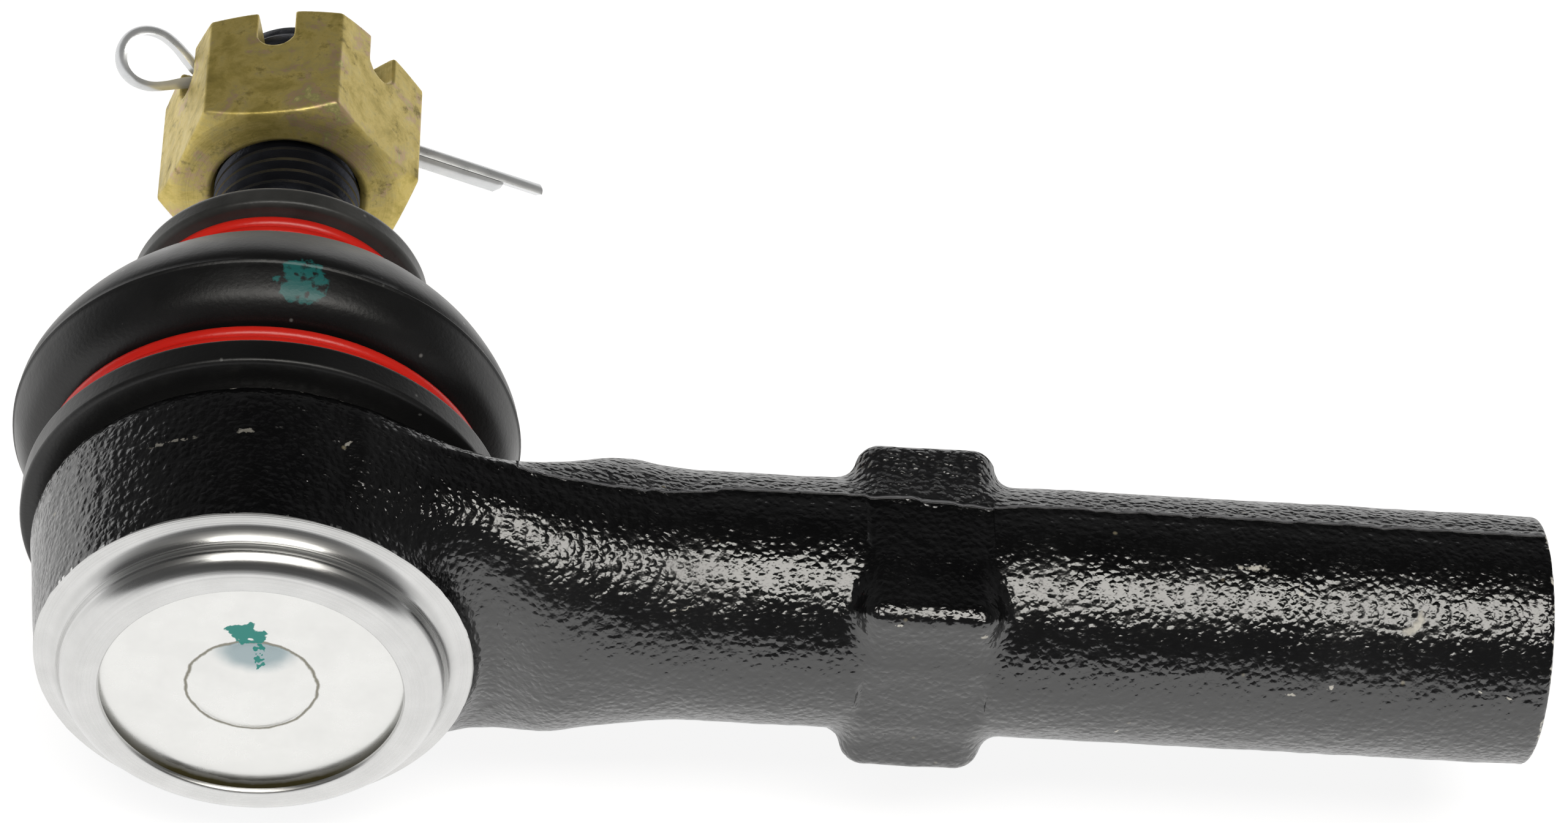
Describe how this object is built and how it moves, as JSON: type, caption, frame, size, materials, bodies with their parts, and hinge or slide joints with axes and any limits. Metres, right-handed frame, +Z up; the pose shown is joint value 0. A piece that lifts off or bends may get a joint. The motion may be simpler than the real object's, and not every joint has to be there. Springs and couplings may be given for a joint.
{
  "type": "tie rod end",
  "caption": "Steering tie rod end: forged ball joint socket with threaded shank, swinging ball stud in a rubber boot, slotted nut and split pin.",
  "frame": {"origin": "middle of the button on the closing plate, on the stud's axis", "axes": "+X along the shank to its threaded end, +Y along the stud to its nut, +Z up with the part lying on its boot"},
  "size_m": [0.1388, 0.081, 0.0462],
  "materials": {
    "black_paint": "gloss black paint over forged skin",
    "zinc_plate": "bright zinc plated pressing",
    "spring_steel": "oiled spring steel",
    "resin": "natural acetal resin",
    "black_steel": "black oxide",
    "yellow_zinc": "yellow passivated zinc",
    "bright_wire": "zinc plated wire",
    "rubber": "satin black moulded rubber",
    "red_wire": "red plastic coating on wire"
  },
  "bodies": {
    "socket": {"housing": "black_paint", "cover_plate": "zinc_plate", "preload_spring": "spring_steel", "upper_bearing": "resin", "boot_lower_ring": "red_wire"},
    "swing_guide": {"lower_bearing": "resin", "dust_boot": "rubber"},
    "tilt_guide": {"boot_upper_ring": "red_wire"},
    "stud": {"ball_stud": "black_steel", "castle_nut": "yellow_zinc"},
    "split_pin": {"cotter_pin": "bright_wire"}
  },
  "joints": [
    {"name": "swing_direction", "type": "hinge", "parent": "socket", "child": "swing_guide", "pos_m": [0, 0.0142, 0], "axis": [0, 1, 0], "continuous": true},
    {"name": "stud_swing", "type": "hinge", "parent": "swing_guide", "child": "tilt_guide", "pos_m": [0, 0.0142, 0], "axis": [0, 0, 1], "range_deg": [-25, 25], "deforming": ["dust_boot"]},
    {"name": "stud_turn", "type": "hinge", "parent": "tilt_guide", "child": "stud", "pos_m": [0, 0.0142, 0], "axis": [0, 1, 0], "continuous": true},
    {"name": "pin_withdrawal", "type": "slide", "parent": "stud", "child": "split_pin", "axis": [-0.9415, 0, 0.3371], "range_m": [0, 0.045]}
  ]
}
